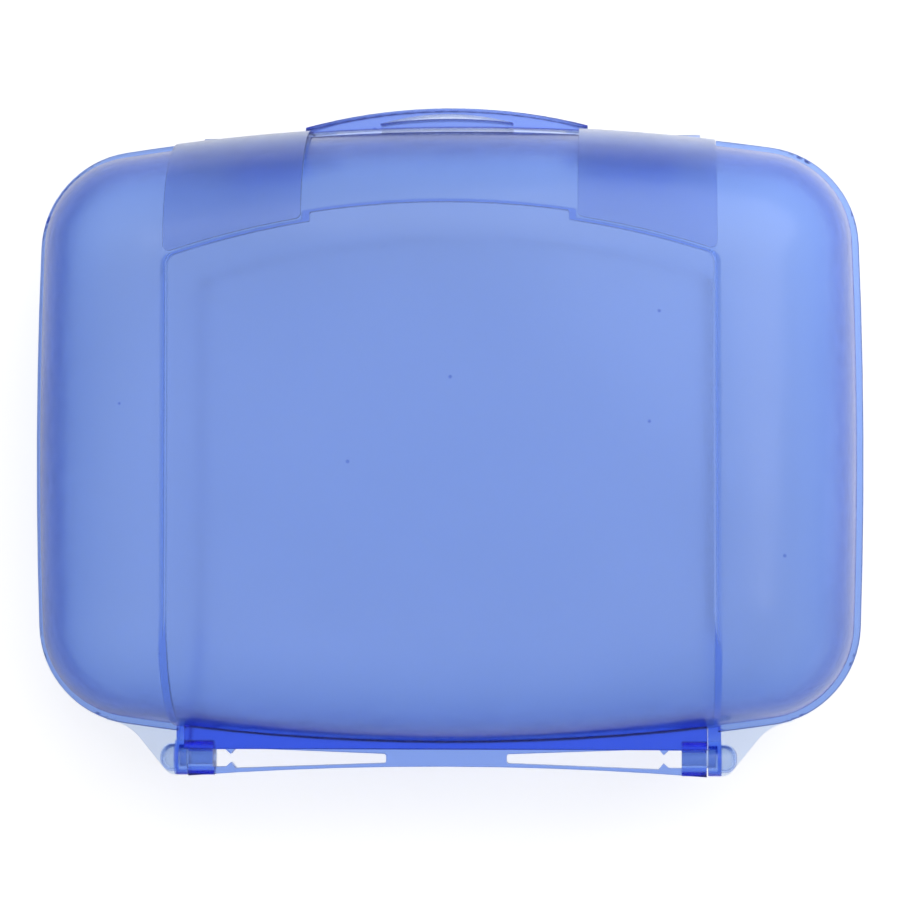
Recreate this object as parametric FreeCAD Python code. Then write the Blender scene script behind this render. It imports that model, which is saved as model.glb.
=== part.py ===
import FreeCAD
import Part
import math
import os

from FreeCAD import Vector

# Hinged lunch box in millimetres. Z up, front clip toward -Y, rear hinge toward +Y,
# origin in the middle of the foot.

# Shell plan at the rim, measured to the outer wall.
shell_half_width = 88.5
shell_half_depth = 66.1
front_crown_radius = 480.0
side_crown_radius = 1100.0
corner_radius = 20.5

# Pillow profile of each half, from the rim to the flat.
shell_height = 29.2
rounding_reach = 27.0
rounding_power = 2.3
corner_kept = 0.08
profile_sections = 9
wall = 1.5

# Raised belt across the middle of each half, and its tongue between the clip arms on the lid.
belt_half_width = 58.7
belt_rise = 1.8
belt_rim_rise = 0.4
belt_side_run = 1.7
belt_front_run = 0.3
belt_inner_shift = 0.6
belt_corner_radius = 2.5
belt_front_setback = 19.6
belt_front_radius = 180.0
tongue_setback = 17.7
tongue_corner_radius = 0.5

# Rim of both halves.
rim_gap = 0.2
flange_width = 1.5
flange_height = 1.6
flange_edge_radius = 0.6
flange_start = 58.5
lip_height = 2.4
lip_thickness = 1.2
lip_clearance = 0.3
lip_edge_radius = 0.4

# Rear hinge.
hinge_axis_out = 3.7
hinge_barrel_radius = 3.8
hinge_bar_half_width = 56.0
hinge_barrel_length = 5.3
hinge_plate_thickness = 3.6
hinge_plate_middle_out = 5.4
hinge_bead_out = 0.8
hinge_bead_height = 4.6
hinge_root_out = 1.4
hinge_root_height = 10.0
hinge_side_clearance = 0.4
slot_inner_end = 13.0
slot_wide = 4.4
slot_narrow = 2.0
slot_pocket = 2.8
slot_pocket_inset = 0.3
slot_nib_length = 2.2
slot_nib_height = 1.3
slot_end_radius = 0.6
ear_thickness = 2.8
ear_drop = 22.0
ear_dome_length = 3.4
ear_dome_inset = 0.7
ear_dome_rounding = 0.85
ear_dome_wall = 0.8
ear_web_out = 1.5
ear_web_run = 9.0
ear_web_tail = 4.8
ear_web_bend = 3.0
ear_web_rim_bend = 10.5
ear_web_thickness = 0.6
hinge_pin_radius = 2.0
hinge_pin_depth = 1.6
pin_running_clearance = 0.05
pin_press_clearance = 0.01
pin_end_clearance = 0.4

# Front clip.
clip_clearance = 0.3
clip_thickness = 1.0
arm_outer = 58.0
arm_inner = 29.0
arm_corner_radius = 1.3
clip_axis_drop = 16.1
clip_axis_in = 0.6
knuckle_radius = 2.3
lug_inner = 31.0
lug_outer = 50.0
knuckle_side_clearance = 0.4
knuckle_length = 5.0
lug_swing_clearance = 0.6
lug_neck_top = 0.6
arm_pad_inner = 33.0
arm_pad_outer = 47.0
arm_pad_out = 0.5
arm_pad_edge_radius = 0.4
bridge_overlap = 1.7
bridge_clearance = 0.9
finger_lip_out = 4.4
finger_lip_rise = 3.5
finger_lip_depth = 7.5
finger_lip_end_out = 0.4
finger_lip_edge_radius = 0.8
finger_hollow_half_width = 14.5
finger_hollow_border = 1.3
finger_hollow_drop = 2.0
finger_hollow_width = 1.0
finger_hollow_roof = 0.9
clip_pin_radius = 1.3

# Places that follow from these sizes.
parting_height = shell_height + belt_rise + rim_gap / 2
base_rim = parting_height - rim_gap / 2
lid_rim = parting_height + rim_gap / 2
hinge_axis_y = shell_half_depth + hinge_axis_out
clip_axis_y = -(shell_half_depth - clip_axis_in)
clip_axis_z = parting_height - clip_axis_drop
tongue_half_width = arm_inner - clip_clearance
hinge_pin_end = hinge_bar_half_width + hinge_side_clearance + hinge_pin_depth
clip_pin_end = lug_outer + knuckle_side_clearance + knuckle_length

# A reach well past every outer face for trimming blocks, a depth inside every wall for what grows
# out of one, the slack used in picking edges and faces by their place, and the slack for joining
# curved surfaces that cross at a shallow angle.
beyond = 2 * shell_half_width
rooted_y = shell_half_depth - rounding_reach
slack = 0.01
joining_slack = 0.001


# Tangent points of the rear right plan corner, and the point midway along it.
def corner_points(out, radius):
    rear_centre = Vector(0, shell_half_depth - front_crown_radius, 0)
    side_centre = Vector(shell_half_width - side_crown_radius, 0, 0)
    rear_reach = front_crown_radius + out
    side_reach = side_crown_radius + out
    a = rear_reach - radius
    b = side_reach - radius
    apart = side_centre - rear_centre
    span = apart.Length
    along = (a * a - b * b + span * span) / (2 * span)
    across = math.sqrt(a * a - along * along)
    unit = apart / span
    normal = Vector(-unit.y, unit.x, 0)
    centre = rear_centre + unit * along + normal * across
    if centre.x < 0:
        centre = rear_centre + unit * along - normal * across
    rear_way = (centre - rear_centre).normalize()
    side_way = (centre - side_centre).normalize()
    middle_way = (rear_way + side_way).normalize()
    rear_point = rear_centre + rear_way * rear_reach
    side_point = side_centre + side_way * side_reach
    return rear_point, centre + middle_way * radius, side_point


# Closed plan wire, parallel to the shell wall at the distance out.
def outline(out, radius, z):
    rear, middle, side = corner_points(out, radius)
    half_width = shell_half_width + out
    half_depth = shell_half_depth + out

    def at(point, sx, sy):
        return Vector(point.x * sx, point.y * sy, z)

    arcs = [
        (at(rear, -1, 1), Vector(0, half_depth, z), at(rear, 1, 1)),
        (at(rear, 1, 1), at(middle, 1, 1), at(side, 1, 1)),
        (at(side, 1, 1), Vector(half_width, 0, z), at(side, 1, -1)),
        (at(side, 1, -1), at(middle, 1, -1), at(rear, 1, -1)),
        (at(rear, 1, -1), Vector(0, -half_depth, z), at(rear, -1, -1)),
        (at(rear, -1, -1), at(middle, -1, -1), at(side, -1, -1)),
        (at(side, -1, -1), Vector(-half_width, 0, z), at(side, -1, 1)),
        (at(side, -1, 1), at(middle, -1, 1), at(rear, -1, 1)),
    ]
    return Part.Wire([Part.Arc(*arc).toShape() for arc in arcs])


# Outer edge of the rear flange at the distance x from the middle.
def rim_edge_y(x):
    reach = front_crown_radius + flange_width
    return shell_half_depth - front_crown_radius + math.sqrt(reach ** 2 - x ** 2)


# Distance of a point from the upright axis of the front crown.
def crown_reach(point):
    return math.hypot(point.x, point.y + shell_half_depth - front_crown_radius)


# Upright block with the plan of the rim, out from the wall.
def rim_prism(out, low, high):
    face = Part.Face(outline(out, corner_radius + out, low))
    return face.extrude(Vector(0, 0, high - low))


# Solid pillow half standing on its rim at z = 0, rounded over the plan distance reach.
def pillow(out, height, reach=rounding_reach):
    wires = []
    for i in range(profile_sections):
        angle = math.pi / 2 * i / (profile_sections - 1)
        inset = reach * (1 - math.cos(angle) ** (2 / rounding_power))
        z = height * math.sin(angle) ** (2 / rounding_power)
        kept = 1 - (1 - corner_kept) * inset / reach
        wires.append(outline(out - inset, (corner_radius + out) * kept, z))
    return Part.makeLoft(wires, True, False)


def block(x0, x1, y0, y1, z0, z1):
    return Part.makeBox(x1 - x0, y1 - y0, z1 - z0, Vector(x0, y0, z0))


def rod(x0, x1, y, z, radius):
    return Part.makeCylinder(radius, x1 - x0, Vector(x0, y, z), Vector(1, 0, 0))


def is_upright(edge):
    return edge.BoundBox.XLength < slack and edge.BoundBox.YLength < slack


def edges_at(shape, z):
    level = [edge for edge in shape.Edges if edge.BoundBox.ZLength < slack]
    return [edge for edge in level if abs(edge.CenterOfMass.z - z) < slack]


def mirrored(shape):
    return shape.mirror(Vector(0, 0, 0), Vector(1, 0, 0))


def fuse(shapes):
    return shapes[0].multiFuse(shapes[1:]).removeSplitter()


def join(shape, other):
    return shape.multiFuse([other], joining_slack).removeSplitter()


def raised(shape, z):
    moved = shape.copy()
    moved.translate(Vector(0, 0, z))
    return moved


# Shape standing on its rim, turned upside down with the rim at z.
def lowered(shape, z):
    return raised(shape.mirror(Vector(0, 0, 0), Vector(0, 0, 1)), z)


# Ends and middle of the curved front edge of the belt.
def recess_curve(half_width, setback):
    middle_y = -(shell_half_depth - setback)
    side_y = middle_y + belt_front_radius - math.sqrt(belt_front_radius ** 2 - half_width ** 2)
    return side_y, middle_y


# Plan wire over the belt at z = 0, open to the rear, its front edge curved between rounded corners.
def belt_wire(half_width, setback, radius):
    side_y, middle_y = recess_curve(half_width, setback)
    left = Vector(-half_width, side_y, 0)
    right = Vector(half_width, side_y, 0)
    rear_left = Vector(-half_width, beyond, 0)
    rear_right = Vector(half_width, beyond, 0)
    wire = Part.Wire([
        Part.Arc(left, Vector(0, middle_y, 0), right).toShape(),
        Part.makeLine(right, rear_right),
        Part.makeLine(rear_right, rear_left),
        Part.makeLine(rear_left, left),
    ])
    prism = Part.Face(wire).extrude(Vector(0, 0, wall))
    corners = [edge for edge in prism.Edges if is_upright(edge) and edge.CenterOfMass.y < 0]
    prism = prism.makeFillet(radius, corners)
    foot = [face for face in prism.Faces if face.CenterOfMass.z < slack]
    return foot[0].OuterWire


# Upright block over the belt.
def belt_block(half_width, setback, radius, height):
    return Part.Face(belt_wire(half_width, setback, radius)).extrude(Vector(0, 0, height))


# Block over the belt with its sides and front leaning inward above the pillow.
def sloped_block(half_width, setback, radius, side_run):
    over = shell_height + belt_rise + wall
    lift = (over - shell_height) / belt_rise
    low_wire = raised(belt_wire(half_width, setback, radius), shell_height)
    high_wire = belt_wire(half_width - side_run * lift, setback + belt_front_run * lift, radius)
    slope = Part.makeLoft([low_wire, raised(high_wire, over)], True, True)
    return fuse([belt_block(half_width, setback, radius, shell_height), slope])


# Outside of one half on its rim: pillow and raised belt, with the tongue on the lid.
def outer_half(has_tongue):
    plan = sloped_block(belt_half_width, belt_front_setback, belt_corner_radius, belt_side_run)
    if has_tongue:
        plan = fuse([plan, sloped_block(tongue_half_width, tongue_setback, tongue_corner_radius, 0)])
    belt = pillow(belt_rim_rise, shell_height + belt_rise).common(plan)
    return join(pillow(0, shell_height), belt)


# Hollow of one half, one wall thickness inside the outer shape.
def inner_half(has_tongue):
    tall = shell_height + belt_rise - wall
    reach = rounding_reach - wall
    plan = belt_block(
        belt_half_width - wall, belt_front_setback + belt_inner_shift, belt_corner_radius, tall + wall,
    )
    if has_tongue:
        plan = fuse([plan, belt_block(
            tongue_half_width - wall, tongue_setback + belt_inner_shift, tongue_corner_radius, tall + wall,
        )])
    belt = pillow(belt_rim_rise - wall, tall, reach).common(plan)
    return join(pillow(-wall, shell_height - wall, reach), belt)


# Rim flange along the four corners and the two ends, standing on z = 0.
def flange():
    ring = rim_prism(flange_width, 0, flange_height)
    ring = ring.makeFillet(flange_edge_radius, edges_at(ring, flange_height))
    ring = ring.cut(rim_prism(-wall / 2, -wall, flange_height + wall))
    return ring.cut(block(-flange_start, flange_start, -beyond, beyond, -wall, flange_height + wall))


# Flat plate of the lid bar, its outer edge drawn in at the middle.
def hinge_plate():
    end_y = hinge_axis_y + hinge_barrel_radius
    middle_y = shell_half_depth + hinge_plate_middle_out
    left = Vector(-hinge_bar_half_width, end_y, 0)
    right = Vector(hinge_bar_half_width, end_y, 0)
    inside_left = Vector(-hinge_bar_half_width, rooted_y, 0)
    inside_right = Vector(hinge_bar_half_width, rooted_y, 0)
    wire = Part.Wire([
        Part.Arc(left, Vector(0, middle_y, 0), right).toShape(),
        Part.makeLine(right, inside_right),
        Part.makeLine(inside_right, inside_left),
        Part.makeLine(inside_left, left),
    ])
    return raised(Part.Face(wire).extrude(Vector(0, 0, hinge_plate_thickness)), lid_rim)


# Tapered slot of the right half of the bar with its pocket and pinched neck.
def hinge_slot():
    pocket_end = hinge_bar_half_width - hinge_barrel_length
    neck_out = pocket_end - slot_pocket
    neck_in = neck_out - slot_nib_length
    wide = slot_wide / 2
    narrow = slot_narrow / 2
    pinch = wide - slot_nib_height
    half = [
        (pocket_end, wide - slot_pocket_inset),
        (neck_out, wide - slot_pocket_inset),
        ((neck_out + neck_in) / 2, pinch),
        (neck_in, wide),
        (slot_inner_end, narrow),
    ]
    upper = [Vector(x, hinge_axis_y + y, 0) for x, y in half]
    lower = [Vector(x, hinge_axis_y - y, 0) for x, y in reversed(half)]
    loop = upper + lower + upper[:1]
    tall = 2 * hinge_barrel_radius
    slot = Part.Face(Part.makePolygon(loop)).extrude(Vector(0, 0, 2 * tall))
    upright = [edge for edge in slot.Edges if is_upright(edge)]
    at_end = [edge for edge in upright if edge.CenterOfMass.x < slot_inner_end + slack]
    return raised(slot.makeFillet(slot_end_radius, at_end), parting_height - tall)


# Thin level web that runs in an S from the ear to the rim.
def ear_web(inner_x):
    outer_y = hinge_axis_y + hinge_barrel_radius
    turn_x = inner_x + ear_thickness + ear_web_out
    meet_x = turn_x + ear_web_run
    tail_x = meet_x + ear_web_tail
    loop = [
        Vector(inner_x, outer_y, 0),
        Vector(turn_x, outer_y, 0),
        Vector(meet_x, rim_edge_y(meet_x), 0),
        Vector(tail_x, rim_edge_y(tail_x), 0),
        Vector(tail_x, rooted_y, 0),
        Vector(inner_x, rooted_y, 0),
        Vector(inner_x, outer_y, 0),
    ]
    web = Part.Face(Part.makePolygon(loop)).extrude(Vector(0, 0, ear_web_thickness))
    for x, radius in ((turn_x, ear_web_bend), (meet_x, ear_web_rim_bend)):
        corner = [edge for edge in web.Edges if is_upright(edge) and abs(edge.CenterOfMass.x - x) < slack]
        web = web.makeFillet(radius, corner)
    return raised(web, base_rim - ear_web_thickness)


# Rounded cap on the outer face of the right ear, drawn in all over by the given inset.
def ear_dome(start_x, inset):
    radius = hinge_barrel_radius - ear_dome_inset - inset
    length = ear_dome_length - inset
    dome = rod(start_x, start_x + length, hinge_axis_y, parting_height, radius)
    tip = [edge for edge in dome.Edges if edge.isClosed() and edge.CenterOfMass.x > start_x + length / 2]
    return dome.makeFillet(min(radius, length) * ear_dome_rounding, tip)


# Right ear of the base: plate with a bracket below, hollow domed end and curved web.
def hinge_ear():
    inner_x = hinge_bar_half_width + hinge_side_clearance
    outer_x = inner_x + ear_thickness
    disc = rod(inner_x, outer_x, hinge_axis_y, parting_height, hinge_barrel_radius)
    slope = hinge_barrel_radius * math.sin(math.pi / 4)
    loop = [
        Vector(inner_x, rooted_y, base_rim),
        Vector(inner_x, hinge_axis_y, base_rim),
        Vector(inner_x, hinge_axis_y + slope, parting_height - slope),
        Vector(inner_x, rooted_y, parting_height - slope - ear_drop),
        Vector(inner_x, rooted_y, base_rim),
    ]
    bracket = Part.Face(Part.makePolygon(loop)).extrude(Vector(ear_thickness, 0, 0))
    below = block(0, beyond, 0, beyond, 0, base_rim)
    dome = ear_dome(outer_x, 0).cut(ear_dome(outer_x, ear_dome_wall)).cut(below)
    return fuse([disc, bracket, dome, ear_web(inner_x)])


# Right front lug of the base that carries the clip pin.
def clip_lug():
    barrel = rod(lug_inner, lug_outer, clip_axis_y, clip_axis_z, knuckle_radius)
    neck = block(
        lug_inner, lug_outer, clip_axis_y, -rooted_y,
        clip_axis_z - knuckle_radius, clip_axis_z + knuckle_radius * lug_neck_top,
    )
    return fuse([barrel, neck])


# Upstanding lip of the base that stands inside the lid wall.
def seal_lip():
    outside = -(wall + lip_clearance)
    inside = outside - lip_thickness
    low = base_rim - lip_height
    high = base_rim + lip_height
    ring = rim_prism(outside, low, high)
    ring = ring.makeFillet(lip_edge_radius, edges_at(ring, high))
    ring = ring.cut(rim_prism(inside, low - wall, high + wall))
    foot = rim_prism(-wall / 2, low, base_rim).cut(rim_prism(inside, low - wall, high + wall))
    return fuse([ring, foot])


def base_shell():
    hollow = lowered(inner_half(False), base_rim)
    ear = hinge_ear()
    lug = clip_lug()
    body = fuse([
        lowered(outer_half(False), base_rim), lowered(flange(), base_rim),
        ear, mirrored(ear), lug, mirrored(lug),
    ])
    body = body.cut(hollow)
    ear_bore_end = hinge_pin_end + pin_end_clearance
    ear_bore_radius = hinge_pin_radius + pin_running_clearance
    lug_bore_radius = clip_pin_radius + pin_running_clearance
    ear_bore = rod(hinge_bar_half_width, ear_bore_end, hinge_axis_y, parting_height, ear_bore_radius)
    lug_bore = rod(lug_inner - wall, lug_outer + wall, clip_axis_y, clip_axis_z, lug_bore_radius)
    for bore in (ear_bore, lug_bore):
        body = body.cut(bore).cut(mirrored(bore))
    return fuse([body, seal_lip()])


def lid_shell():
    barrel_start = hinge_bar_half_width - hinge_barrel_length
    barrel = rod(barrel_start, hinge_bar_half_width, hinge_axis_y, parting_height, hinge_barrel_radius)
    bead = rim_prism(hinge_bead_out, lid_rim, lid_rim + hinge_bead_height)
    bead = bead.common(block(-hinge_bar_half_width, hinge_bar_half_width, 0, beyond, 0, beyond))
    root = block(
        -hinge_bar_half_width, hinge_bar_half_width, rooted_y, shell_half_depth + hinge_root_out,
        lid_rim, lid_rim + hinge_root_height,
    )
    body = fuse([
        raised(outer_half(True), lid_rim), raised(flange(), lid_rim),
        hinge_plate(), bead, root, barrel, mirrored(barrel),
    ])
    body = body.cut(raised(inner_half(True), lid_rim))
    slot = hinge_slot()
    bore = rod(barrel_start - slot_pocket / 2, hinge_bar_half_width + wall, hinge_axis_y, parting_height,
               hinge_pin_radius + pin_press_clearance)
    for gap in (slot, bore):
        body = body.cut(gap).cut(mirrored(gap))
    return body.removeSplitter()


# Right arm: wraps over the lid and runs down the front to the knuckle.
def clip_arm():
    outside = clip_clearance + clip_thickness
    upper = raised(pillow(outside, shell_height + belt_rise), lid_rim)
    lower = rim_prism(outside, clip_axis_z, lid_rim)
    inside = fuse([
        raised(pillow(clip_clearance, shell_height + clip_clearance), lid_rim),
        rim_prism(clip_clearance, clip_axis_z - wall, lid_rim),
    ])
    shell = fuse([upper, lower]).cut(inside)
    tall = lid_rim + shell_height + belt_rise + wall
    side_y, middle_y = recess_curve(arm_outer, belt_front_setback - clip_clearance)
    inner_drop = belt_front_radius - math.sqrt(belt_front_radius ** 2 - arm_inner ** 2)
    mid_x = (arm_inner + arm_outer) / 2
    mid_drop = belt_front_radius - math.sqrt(belt_front_radius ** 2 - mid_x ** 2)
    front_inner = Vector(arm_inner, -beyond, 0)
    front_outer = Vector(arm_outer, -beyond, 0)
    tip_outer = Vector(arm_outer, side_y, 0)
    tip_inner = Vector(arm_inner, middle_y + inner_drop, 0)
    wire = Part.Wire([
        Part.makeLine(front_inner, front_outer),
        Part.makeLine(front_outer, tip_outer),
        Part.Arc(tip_outer, Vector(mid_x, middle_y + mid_drop, 0), tip_inner).toShape(),
        Part.makeLine(tip_inner, front_inner),
    ])
    plan = Part.Face(wire).extrude(Vector(0, 0, tall))
    corners = [edge for edge in plan.Edges if is_upright(edge) and edge.CenterOfMass.y > -shell_half_depth]
    plan = plan.makeFillet(arm_corner_radius, corners)
    swing = knuckle_radius + lug_swing_clearance
    pad = rim_prism(outside + arm_pad_out, clip_axis_z + swing, base_rim)
    pad = pad.common(block(arm_pad_inner, arm_pad_outer, -beyond, 0, 0, beyond))
    pad = pad.cut(rim_prism(clip_clearance, 0, tall))
    pad_reach = front_crown_radius + outside + arm_pad_out
    pad = pad.makeFillet(arm_pad_edge_radius, [
        edge for edge in pad.Edges if pad_reach - crown_reach(edge.CenterOfMass) < arm_pad_edge_radius
    ])
    arm = fuse([shell.common(plan), pad])
    clear = block(
        lug_inner - knuckle_side_clearance, lug_outer + knuckle_side_clearance,
        -beyond, 0, 0, clip_axis_z + swing,
    )
    return arm.cut(clear)


# Prism between two arcs that share their ends at half_width, or between one arc and the middle plane.
def arc_prism(half_width, end_y, outer_y, inner_y, low, high):
    left = Vector(-half_width, end_y, low)
    right = Vector(half_width, end_y, low)
    edges = [Part.Arc(left, Vector(0, outer_y, low), right).toShape()]
    if inner_y is None:
        edges.append(Part.makePolygon([right, Vector(half_width, 0, low), Vector(-half_width, 0, low), left]))
    else:
        edges.append(Part.Arc(right, Vector(0, inner_y, low), left).toShape())
    return Part.Face(Part.Wire(edges)).extrude(Vector(0, 0, high - low))


# Bridge between the arms with a finger lip along its top, curved in plan and hollowed below.
def clip_bridge():
    half = arm_inner + bridge_overlap
    crown_y = front_crown_radius - shell_half_depth
    near_y = -(shell_half_depth + bridge_clearance)
    tip_y = near_y - finger_lip_out
    high = parting_height + finger_lip_rise
    low = high - finger_lip_depth
    outside = bridge_clearance + clip_thickness
    end_reach = front_crown_radius + outside + finger_lip_end_out
    end_y = crown_y - math.sqrt(end_reach ** 2 - half ** 2)
    lip = arc_prism(half, end_y, tip_y, None, low, high)
    front = [
        edge for edge in edges_at(lip, high) + edges_at(lip, low)
        if edge.CenterOfMass.y < end_y
    ]
    lip = lip.makeFillet(finger_lip_edge_radius, front)
    panel = rim_prism(outside, clip_axis_z, high)
    panel = panel.common(block(-half, half, -beyond, 0, 0, beyond))
    bridge = fuse([lip, panel]).cut(rim_prism(bridge_clearance, 0, beyond))
    hollow_y = tip_y + finger_hollow_border
    hollow = arc_prism(
        finger_hollow_half_width, hollow_y + finger_hollow_drop, hollow_y, hollow_y + finger_hollow_width,
        low - wall, high - finger_hollow_roof,
    )
    return bridge.cut(hollow)


def front_clip():
    arm = clip_arm()
    outer_knuckle_start = lug_outer + knuckle_side_clearance
    inner_knuckle_end = lug_inner - knuckle_side_clearance
    outer_knuckle = rod(
        outer_knuckle_start, clip_pin_end, clip_axis_y, clip_axis_z, knuckle_radius,
    )
    inner_knuckle = rod(
        inner_knuckle_end - knuckle_length, inner_knuckle_end, clip_axis_y, clip_axis_z, knuckle_radius,
    )
    right = [arm, outer_knuckle, inner_knuckle]
    clip = fuse(right + [mirrored(shape) for shape in right] + [clip_bridge()])
    bore = rod(inner_knuckle_end - knuckle_length + wall, arm_outer + wall, clip_axis_y, clip_axis_z,
               clip_pin_radius + pin_press_clearance)
    return clip.cut(bore).cut(mirrored(bore)).removeSplitter()


def hinge_pin():
    start = hinge_bar_half_width - hinge_barrel_length
    return rod(start, hinge_pin_end, hinge_axis_y, parting_height, hinge_pin_radius)


def clip_pin():
    start = lug_inner - knuckle_side_clearance - knuckle_length + wall + pin_end_clearance
    return rod(start, clip_pin_end, clip_axis_y, clip_axis_z, clip_pin_radius)


pieces = {
    "base_shell": base_shell(),
    "lid_shell": lid_shell(),
    "front_clip": front_clip(),
    "hinge_pin_left": mirrored(hinge_pin()),
    "hinge_pin_right": hinge_pin(),
    "clip_pin_left": mirrored(clip_pin()),
    "clip_pin_right": clip_pin(),
}

os.makedirs("parts", exist_ok=True)
for name, shape in pieces.items():
    print(name, shape.isValid(), len(shape.Solids), round(shape.Volume))
    shape.exportStep("parts/" + name + ".step")
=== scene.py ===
import bpy
from mathutils import Matrix, Vector


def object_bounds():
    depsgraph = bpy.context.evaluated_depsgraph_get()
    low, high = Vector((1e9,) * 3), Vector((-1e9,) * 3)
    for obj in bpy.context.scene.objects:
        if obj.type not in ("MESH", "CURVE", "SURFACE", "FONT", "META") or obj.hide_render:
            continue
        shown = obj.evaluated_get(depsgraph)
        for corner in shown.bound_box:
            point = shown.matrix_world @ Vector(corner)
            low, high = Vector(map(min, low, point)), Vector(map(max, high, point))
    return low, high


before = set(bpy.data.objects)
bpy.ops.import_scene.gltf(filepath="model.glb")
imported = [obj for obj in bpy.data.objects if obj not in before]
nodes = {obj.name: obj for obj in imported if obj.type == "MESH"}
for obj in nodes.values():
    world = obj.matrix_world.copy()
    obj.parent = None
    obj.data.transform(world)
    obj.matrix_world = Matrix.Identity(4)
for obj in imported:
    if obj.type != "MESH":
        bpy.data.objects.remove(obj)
cadLow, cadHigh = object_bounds()
scene = bpy.context.scene
scene.view_settings.view_transform = "Standard"
print("frame loaded:", sorted(nodes))


# small helpers for the node trees
def newMaterial(name):
    mat = bpy.data.materials.new(name)
    mat.use_nodes = True
    mat.node_tree.nodes.clear()
    return mat, mat.node_tree


def addNode(tree, kind, x, y, **settings):
    node = tree.nodes.new(kind)
    node.location = (x, y)
    for key, value in settings.items():
        setattr(node, key, value)
    return node


def setInputs(node, values):
    for key, value in values.items():
        node.inputs[key].default_value = value


def dress(obj, mat):
    obj.data.materials.clear()
    obj.data.materials.append(mat)


def newGroup(name, inputs, outputs):
    tree = bpy.data.node_groups.new(name, "ShaderNodeTree")
    for label, kind, value in inputs:
        socket = tree.interface.new_socket(name=label, in_out="INPUT", socket_type=kind)
        socket.default_value = value
    for label, kind in outputs:
        tree.interface.new_socket(name=label, in_out="OUTPUT", socket_type=kind)
    given = addNode(tree, "NodeGroupInput", -900, 0)
    out = addNode(tree, "NodeGroupOutput", 700, 0)
    return tree, given, out


def placeGroup(tree, group, x, y, values):
    node = addNode(tree, "ShaderNodeGroup", x, y, node_tree=group)
    setInputs(node, values)
    return node


# fine grain of the mould face: a height and a roughness, both from the part's own coordinates
grainLook = dict(fineDetail=3.0, broadScale=35.0, broadDetail=4.0, broadLow=0.3, broadHigh=0.7)


def grainGroup(look):
    tree, given, out = newGroup(
        "mouldGrain",
        [
            ("Grain", "NodeSocketFloat", 1500.0),
            ("Low", "NodeSocketFloat", 0.2),
            ("High", "NodeSocketFloat", 0.3),
        ],
        [("Height", "NodeSocketFloat"), ("Roughness", "NodeSocketFloat")],
    )
    link = tree.links.new
    place = addNode(tree, "ShaderNodeTexCoord", -900, 300)
    fine = addNode(tree, "ShaderNodeTexNoise", -500, 200)
    setInputs(fine, {"Detail": look["fineDetail"]})
    broad = addNode(tree, "ShaderNodeTexNoise", -500, -150)
    setInputs(broad, {"Scale": look["broadScale"], "Detail": look["broadDetail"]})
    link(place.outputs["Object"], fine.inputs["Vector"])
    link(place.outputs["Object"], broad.inputs["Vector"])
    link(given.outputs["Grain"], fine.inputs["Scale"])
    spread = addNode(tree, "ShaderNodeMapRange", -100, -150)
    setInputs(spread, {"From Min": look["broadLow"], "From Max": look["broadHigh"]})
    link(broad.outputs["Fac"], spread.inputs["Value"])
    link(given.outputs["Low"], spread.inputs["To Min"])
    link(given.outputs["High"], spread.inputs["To Max"])
    link(fine.outputs["Fac"], out.inputs["Height"])
    link(spread.outputs["Result"], out.inputs["Roughness"])
    return tree


# slow clouds where the melt flowed, with sparse dark specks
flowLook = dict(
    cloudScale=22.0,
    cloudDetail=3.0,
    cloudLow=0.35,
    cloudHigh=0.65,
    speckScale=60.0,  # about one in each 17 mm cube
    speckFlat=0.8,  # specks lie on the broad faces, not on upright edges
)
mixA, mixB, mixOut = 6, 7, 2  # colour sockets of a Mix node


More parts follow.
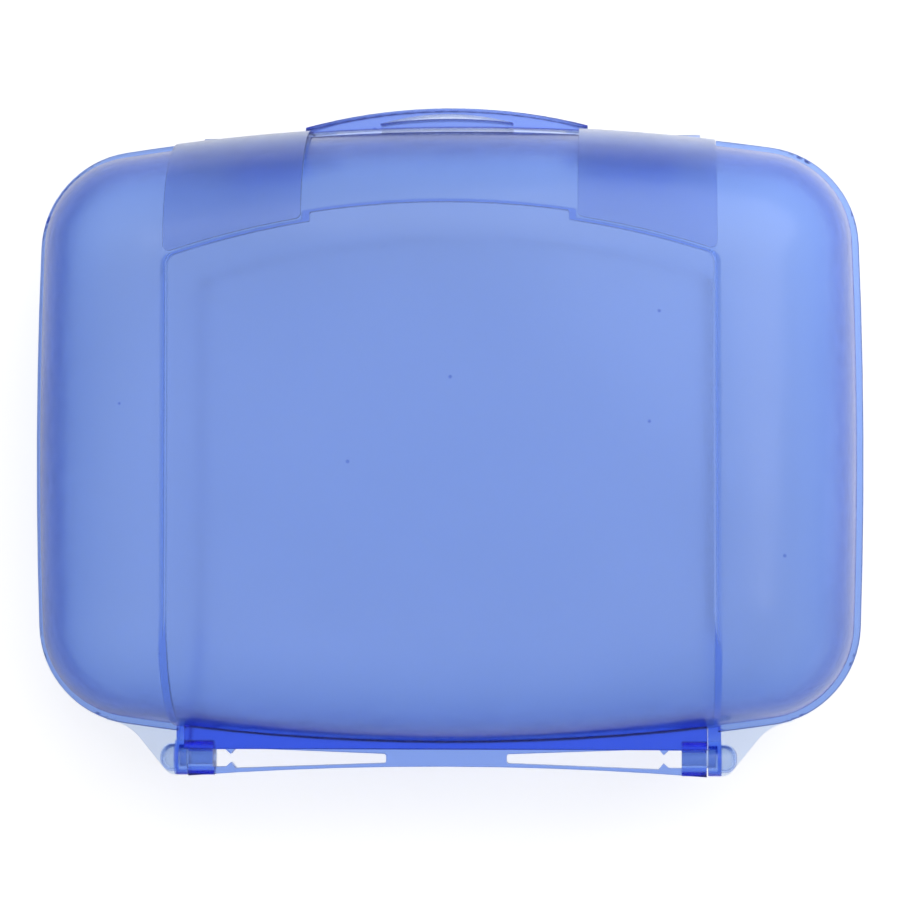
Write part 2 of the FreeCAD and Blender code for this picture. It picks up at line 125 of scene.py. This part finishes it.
def flowGroup(look):
    tree, given, out = newGroup(
        "meltFlow",
        [
            ("Tint", "NodeSocketColor", (0.8, 0.85, 0.97, 1)),
            ("Cloud", "NodeSocketColor", (0.84, 0.88, 0.98, 1)),
            ("Speck", "NodeSocketColor", (0.34, 0.43, 0.75, 1)),
            ("Speck Size", "NodeSocketFloat", 0.025),
        ],
        [("Colour", "NodeSocketColor")],
    )
    link = tree.links.new
    place = addNode(tree, "ShaderNodeTexCoord", -1100, 300)
    cloud = addNode(tree, "ShaderNodeTexNoise", -700, 300)
    setInputs(cloud, {"Scale": look["cloudScale"], "Detail": look["cloudDetail"]})
    link(place.outputs["Object"], cloud.inputs["Vector"])
    soft = addNode(tree, "ShaderNodeMapRange", -450, 300)
    setInputs(soft, {"From Min": look["cloudLow"], "From Max": look["cloudHigh"]})
    link(cloud.outputs["Fac"], soft.inputs["Value"])
    blend = addNode(tree, "ShaderNodeMix", -150, 200, data_type="RGBA")
    link(soft.outputs["Result"], blend.inputs["Factor"])
    link(given.outputs["Tint"], blend.inputs[mixA])
    link(given.outputs["Cloud"], blend.inputs[mixB])
    dots = addNode(tree, "ShaderNodeTexVoronoi", -700, -150)
    setInputs(dots, {"Scale": look["speckScale"]})
    link(place.outputs["Object"], dots.inputs["Vector"])
    near = addNode(tree, "ShaderNodeMath", -450, -150, operation="LESS_THAN")
    link(dots.outputs["Distance"], near.inputs[0])
    link(given.outputs["Speck Size"], near.inputs[1])
    face = addNode(tree, "ShaderNodeSeparateXYZ", -900, -400)
    link(place.outputs["Normal"], face.inputs["Vector"])
    tilt = addNode(tree, "ShaderNodeMath", -700, -400, operation="ABSOLUTE")
    link(face.outputs["Z"], tilt.inputs[0])
    flat = addNode(tree, "ShaderNodeMath", -450, -400, operation="GREATER_THAN")
    setInputs(flat, {1: look["speckFlat"]})
    link(tilt.outputs["Value"], flat.inputs[0])
    speck = addNode(tree, "ShaderNodeMath", -150, -200, operation="MULTIPLY")
    link(near.outputs["Value"], speck.inputs[0])
    link(flat.outputs["Value"], speck.inputs[1])
    dusted = addNode(tree, "ShaderNodeMix", 150, 100, data_type="RGBA")
    link(speck.outputs["Value"], dusted.inputs["Factor"])
    link(blend.outputs[mixOut], dusted.inputs[mixA])
    link(given.outputs["Speck"], dusted.inputs[mixB])
    link(dusted.outputs[mixOut], out.inputs["Colour"])
    return tree


mouldGrain = grainGroup(grainLook)
meltFlow = flowGroup(flowLook)
print("node groups built")

# translucent moulded plastic; most of the blue is taken up inside the wall
shellLook = dict(
    tint=(0.815, 0.858, 0.906),
    cloud=(0.837, 0.874, 0.916),
    roughLow=0.2,
    roughHigh=0.27,
    transmission=1.0,
    ior=1.35,
    absorbDensity=320.0,  # per metre of wall
    absorbColour=(0.0, 0.344, 0.96),
    bump=0.01,
    bumpDepth=0.0002,
)
clipLook = dict(
    shellLook,
    tint=(0.935, 0.945, 0.962),
    cloud=(0.948, 0.956, 0.97),
    absorbDensity=215.0,
    absorbColour=(0.0, 0.28, 0.87),
)
pinLook = dict(shellLook, absorbDensity=110.0)


def plasticMaterial(name, look):
    mat, tree = newMaterial(name)
    link = tree.links.new
    out = addNode(tree, "ShaderNodeOutputMaterial", 400, 0)
    skin = addNode(tree, "ShaderNodeBsdfPrincipled", 0, 0)
    setInputs(skin, {"IOR": look["ior"], "Transmission Weight": look["transmission"]})
    colours = {"Tint": (*look["tint"], 1), "Cloud": (*look["cloud"], 1)}
    flow = placeGroup(tree, meltFlow, -500, 200, colours)
    roughs = {"Low": look["roughLow"], "High": look["roughHigh"]}
    grain = placeGroup(tree, mouldGrain, -500, -200, roughs)
    bump = addNode(tree, "ShaderNodeBump", -250, -250)
    setInputs(bump, {"Strength": look["bump"], "Distance": look["bumpDepth"]})
    link(flow.outputs["Colour"], skin.inputs["Base Color"])
    link(grain.outputs["Roughness"], skin.inputs["Roughness"])
    link(grain.outputs["Height"], bump.inputs["Height"])
    link(bump.outputs["Normal"], skin.inputs["Normal"])
    depth = addNode(tree, "ShaderNodeVolumeAbsorption", 0, -500)
    setInputs(depth, {"Color": (*look["absorbColour"], 1), "Density": look["absorbDensity"]})
    link(skin.outputs["BSDF"], out.inputs["Surface"])
    link(depth.outputs["Volume"], out.inputs["Volume"])
    return mat


shellPlastic = plasticMaterial("shellPlastic", shellLook)
clipPlastic = plasticMaterial("clipPlastic", clipLook)
pinPlastic = plasticMaterial("pinPlastic", pinLook)
for name, node in nodes.items():
    if "pin" in name:
        dress(node, pinPlastic)
    elif "clip" in name:
        dress(node, clipPlastic)
    else:
        dress(node, shellPlastic)
print("materials set")


# 1 for rays that reach the camera straight, by a mirror or through the plastic
def rayMask(tree, x, y):
    link = tree.links.new
    path = addNode(tree, "ShaderNodeLightPath", x, y)
    camera = addNode(tree, "ShaderNodeMath", x + 200, y + 200, operation="MULTIPLY")
    glossy = addNode(tree, "ShaderNodeMath", x + 200, y - 200, operation="MULTIPLY")
    for gain in (camera, glossy):
        setInputs(gain, {1: 1.0})
    either = addNode(tree, "ShaderNodeMath", x + 200, y, operation="MAXIMUM")
    seen = addNode(tree, "ShaderNodeMath", x + 400, y, operation="MAXIMUM")
    link(path.outputs["Is Camera Ray"], camera.inputs[0])
    link(camera.outputs[0], either.inputs[0])
    link(path.outputs["Is Glossy Ray"], glossy.inputs[0])
    link(glossy.outputs[0], either.inputs[1])
    link(either.outputs[0], seen.inputs[0])
    link(path.outputs["Is Transmission Ray"], seen.inputs[1])
    return seen.outputs[0], camera.inputs[1], glossy.inputs[1]


# floor: white and keeps a soft shadow; the glow that mirrors show of it is painted light,
# brighter on the panel side and fading away from it
floorLook = dict(
    half=1.5,
    drop=0.0001,  # just under the foot
    glow=0.64,
    albedo=0.64,
    cameraGlow=1.06,
    nearPaintedGlow=1.5,
    farPaintedGlow=0.2,
    paintedGlowRun=0.12,
    paintedGlowWay=(-0.7, -0.7, 0),  # toward the panel
)


def buildFloor(look):
    mesh = bpy.data.meshes.new("studioFloor")
    h = look["half"]
    z = cadLow.z - look["drop"]
    mesh.from_pydata([(-h, -h, z), (h, -h, z), (h, h, z), (-h, h, z)], [], [(0, 1, 2, 3)])
    floor = bpy.data.objects.new("studioFloor", mesh)
    scene.collection.objects.link(floor)
    mat, tree = newMaterial("studioFloor")
    link = tree.links.new
    out = addNode(tree, "ShaderNodeOutputMaterial", 600, 0)
    strength = addNode(tree, "ShaderNodeMath", 0, 300, operation="MULTIPLY")
    setInputs(strength, {1: look["glow"]})
    seen, direct, mirrored = rayMask(tree, -600, 300)
    direct.default_value = look["cameraGlow"]
    link(seen, strength.inputs[0])
    spot = addNode(tree, "ShaderNodeNewGeometry", -1200, 0)
    toward = addNode(tree, "ShaderNodeVectorMath", -1000, 0, operation="DOT_PRODUCT")
    setInputs(toward, {1: look["paintedGlowWay"]})
    link(spot.outputs["Position"], toward.inputs[0])
    # painted reflection: the floor glow seen in mirrors is strong toward the panel and weak
    # away from it, standing in for the panel's light on the floor
    paintedGlowFade = addNode(tree, "ShaderNodeMapRange", -800, 0)
    setInputs(paintedGlowFade, {"From Min": -look["paintedGlowRun"], "From Max": look["paintedGlowRun"]})
    setInputs(paintedGlowFade, {"To Min": look["farPaintedGlow"], "To Max": look["nearPaintedGlow"]})
    link(toward.outputs["Value"], paintedGlowFade.inputs["Value"])
    link(paintedGlowFade.outputs["Result"], mirrored)
    glow = addNode(tree, "ShaderNodeEmission", 200, 200)
    link(strength.outputs[0], glow.inputs["Strength"])
    matte = addNode(tree, "ShaderNodeBsdfDiffuse", 200, -50)
    setInputs(matte, {"Color": (look["albedo"],) * 3 + (1,)})
    both = addNode(tree, "ShaderNodeAddShader", 400, 0)
    link(glow.outputs[0], both.inputs[0])
    link(matte.outputs[0], both.inputs[1])
    link(both.outputs[0], out.inputs["Surface"])
    dress(floor, mat)


buildFloor(floorLook)
print("floor set")


# soft studio light: white room plus a large panel up and to the right of the picture
lightLook = dict(
    room=0.4,
    roomColour=(1, 1, 1, 1),
    panelPower=14.0,
    panelSize=1.6,
    panelPlace=(-0.5, -0.7, 1.3),
    farSide=0.4,  # what mirrors show of the room opposite the panel
    fadeFrom=-0.6,
    fadeTo=0.6,
)


def buildLight(look):
    world = bpy.data.worlds.new("studioRoom")
    scene.world = world
    world.use_nodes = True
    tree = world.node_tree
    tree.nodes.clear()
    link = tree.links.new
    place = Vector(look["panelPlace"])
    out = addNode(tree, "ShaderNodeOutputWorld", 600, 0)
    room = addNode(tree, "ShaderNodeBackground", 0, 0)
    setInputs(room, {"Color": look["roomColour"], "Strength": look["room"]})
    white = addNode(tree, "ShaderNodeBackground", 0, -150)
    setInputs(white, {"Color": look["roomColour"]})
    way = addNode(tree, "ShaderNodeTexCoord", -1000, -300)
    toward = addNode(tree, "ShaderNodeVectorMath", -800, -300, operation="DOT_PRODUCT")
    setInputs(toward, {1: place.normalized()})
    link(way.outputs["Generated"], toward.inputs[0])
    fade = addNode(tree, "ShaderNodeMapRange", -500, -300)
    setInputs(fade, {"From Min": look["fadeFrom"], "From Max": look["fadeTo"]})
    setInputs(fade, {"To Min": look["farSide"]})
    link(toward.outputs["Value"], fade.inputs["Value"])
    view = addNode(tree, "ShaderNodeLightPath", -500, -600)
    full = addNode(tree, "ShaderNodeMath", -250, -400, operation="MAXIMUM")
    link(view.outputs["Is Camera Ray"], full.inputs[0])
    link(fade.outputs["Result"], full.inputs[1])
    link(full.outputs[0], white.inputs["Strength"])
    pick = addNode(tree, "ShaderNodeMixShader", 300, 0)
    link(rayMask(tree, -600, 200)[0], pick.inputs[0])
    link(room.outputs[0], pick.inputs[1])
    link(white.outputs[0], pick.inputs[2])
    link(pick.outputs[0], out.inputs["Surface"])
    panel = bpy.data.lights.new("softPanel", "AREA")
    panel.energy = look["panelPower"]
    panel.size = look["panelSize"]
    lamp = bpy.data.objects.new("softPanel", panel)
    lamp.location = place
    lamp.rotation_euler = (-place).to_track_quat("-Z", "Y").to_euler()
    scene.collection.objects.link(lamp)


buildLight(lightLook)
print("light set")


# camera: nearly overhead, hinge at the foot of the picture
cameraLook = dict(
    place=(-0.0405, 0.0315, 0.7081),
    aim=(-0.0006, 0.003, 0.0311),
    up=(0, -1, 0),
    lens=124.72,
    sensor=36,
    nearest=0.01,
)


def buildCamera(look):
    data = bpy.data.cameras.new("photoCamera")
    data.lens = look["lens"]
    data.sensor_width = look["sensor"]
    data.dof.use_dof = False
    data.clip_start = look["nearest"]
    cam = bpy.data.objects.new("photoCamera", data)
    forward = (Vector(look["aim"]) - Vector(look["place"])).normalized()
    right = forward.cross(Vector(look["up"])).normalized()
    up = right.cross(forward)
    turn = Matrix((right, up, -forward)).transposed()
    cam.matrix_world = Matrix.Translation(look["place"]) @ turn.to_4x4()
    scene.collection.objects.link(cam)
    scene.camera = cam


buildCamera(cameraLook)
print("camera set")
